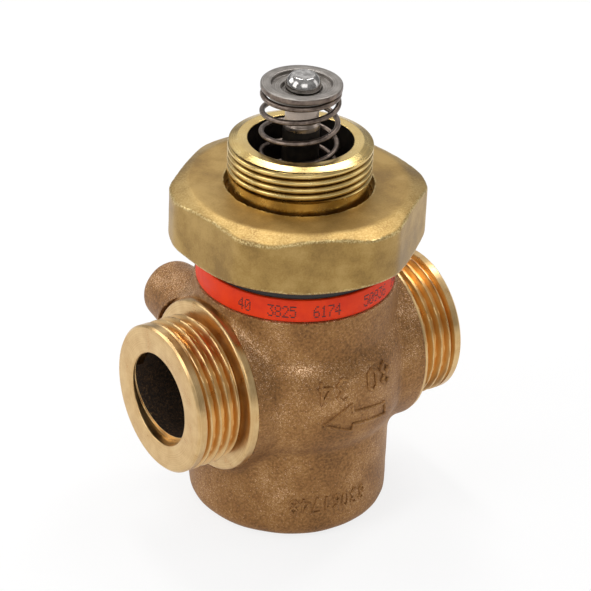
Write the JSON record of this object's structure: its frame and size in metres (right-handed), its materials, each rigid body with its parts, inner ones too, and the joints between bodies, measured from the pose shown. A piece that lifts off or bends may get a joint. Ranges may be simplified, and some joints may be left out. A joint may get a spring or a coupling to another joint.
{
  "type": "control valve",
  "caption": "Two-port cast bronze control valve with external port threads, brass union nut, threaded actuator neck and a spring-loaded stem that is pressed down to close.",
  "frame": {"origin": "middle of the flat base, on the stem's axis", "axes": "+Z along the stem, away from the base; +X along the ports, from the outlet on the left to the inlet on the right; +Y away from the side that the picture shows"},
  "size_m": [0.07, 0.0566, 0.1034],
  "materials": {
    "cast_bronze": "sand-cast red bronze, machined at the ports",
    "nut_brass": "forged brass, matt",
    "turned_brass": "turned brass, bright",
    "bearing_bronze": "plain turned",
    "stainless": "turned stainless steel",
    "polished_steel": "hardened and polished",
    "retainer_steel": "matt pressed steel",
    "spring_steel": "drawn spring wire",
    "red_band": "satin plastic",
    "black_rubber": "smooth rubber"
  },
  "bodies": {
    "housing": {"valve_body": "cast_bronze", "valve_seat": "stainless", "seat_o_ring": "black_rubber", "label_band": "red_band", "dust_ring": "black_rubber", "union_nut": "nut_brass", "bonnet": "turned_brass", "bonnet_o_ring": "black_rubber", "stem_bush": "bearing_bronze", "stem_seal_lower": "black_rubber", "stem_seal_upper": "black_rubber", "seal_spacer": "turned_brass", "gland_nut": "turned_brass", "gland_o_ring": "black_rubber", "wiper_ring": "black_rubber", "spring_washer": "stainless", "return_spring": "spring_steel"},
    "stem_unit": {"stem": "stainless", "stem_head": "polished_steel", "spring_retainer": "retainer_steel", "plug_holder": "stainless", "plug_seal": "black_rubber", "throttle_cone": "stainless", "plug_nut": "stainless"}
  },
  "joints": [
    {"name": "stem_stroke", "type": "slide", "parent": "housing", "child": "stem_unit", "axis": [0, 0, -1], "range_m": [0, 0.005], "stiffness_N_per_m": 3000, "springref_m": -0.01, "deforming": ["return_spring"]}
  ]
}
